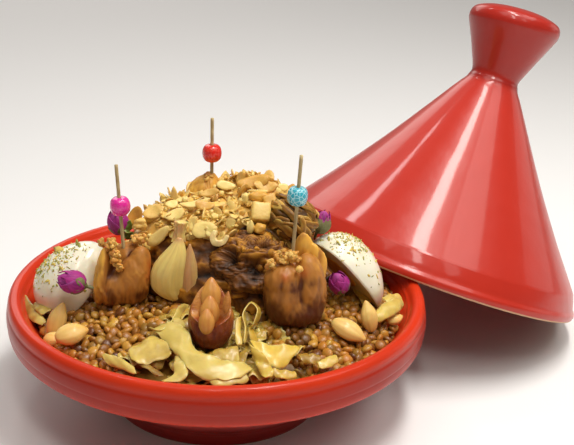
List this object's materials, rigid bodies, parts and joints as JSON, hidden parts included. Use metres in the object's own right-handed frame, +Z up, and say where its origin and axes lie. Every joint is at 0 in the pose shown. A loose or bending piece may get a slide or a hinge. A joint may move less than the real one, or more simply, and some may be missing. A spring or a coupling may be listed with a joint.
{
  "type": "chicken tagine",
  "caption": "Red glazed dish of chicken with lentils, folded bread sheets, flaked almonds, stuffed figs, eggs and rose buds, its conical lid leaning on the rim",
  "frame": {"origin": "middle of the dish's flat foot, on the table", "axes": "+Z up; -Y is the serving side; the lid leans away to the right and back, about 36 degrees from +X"},
  "size_m": [0.3958, 0.3539, 0.2341],
  "materials": {
    "red_glaze": "glossy tomato-red glaze, deeper in the turning lines",
    "lentil": "moist cooked lentils, golden brown to olive",
    "bread": "translucent pale yellow folded bread sheets",
    "chicken": "dark brown glazed fibrous meat",
    "onion": "olive-brown stewed onion",
    "flakes": "toasted flaked almond",
    "egg_white": "smooth boiled egg white",
    "yolk": "crumbly boiled yolk",
    "fig": "caramelised dried fig skin",
    "walnut": "chopped walnut in syrup",
    "garlic": "waxy cooked garlic skin",
    "date": "dark red-brown wrinkled date skin",
    "almond": "blanched fried almond",
    "glazed_almond": "syrup-glazed almond",
    "petal": "dried magenta rose petal",
    "sepal": "dried green sepals and stalk",
    "bamboo": "split bamboo",
    "bead_pink": "glossy pink bead",
    "bead_red": "glossy red bead",
    "bead_turquoise": "crackled turquoise bead"
  },
  "bodies": {
    "root": {"dish": "red_glaze", "lid": "red_glaze", "lentils_left": "lentil", "lentils_right": "lentil", "bread_sheets": "bread", "chicken_front": "chicken", "chicken_mound": "chicken", "onions": "onion", "almond_flakes": "flakes", "egg_left": "egg_white", "egg_right": "egg_white", "yolk_left": "yolk", "yolk_right": "yolk", "fig_left": "fig", "fig_right": "fig", "fig_back": "fig", "walnut_left": "walnut", "walnut_right": "walnut", "walnut_back": "walnut", "garlic_large": "garlic", "garlic_small": "garlic", "garlic_stem": "garlic", "date": "date", "almond_left_1": "almond", "almond_left_2": "almond", "almond_left_3": "almond", "almond_right_1": "almond", "almond_right_2": "almond", "almond_right_3": "almond", "date_almond_1": "glazed_almond", "date_almond_2": "glazed_almond", "date_almond_3": "glazed_almond", "rosebud_left": "petal", "rosebud_behind": "petal", "rosebud_right": "petal", "rosebud_front": "petal", "calyx_left": "sepal", "calyx_behind": "sepal", "calyx_right": "sepal", "calyx_front": "sepal", "pick_left": "bamboo", "pick_back": "bamboo", "pick_right": "bamboo", "bead_left": "bead_pink", "bead_back": "bead_red", "bead_right": "bead_turquoise"}
  },
  "joints": []
}
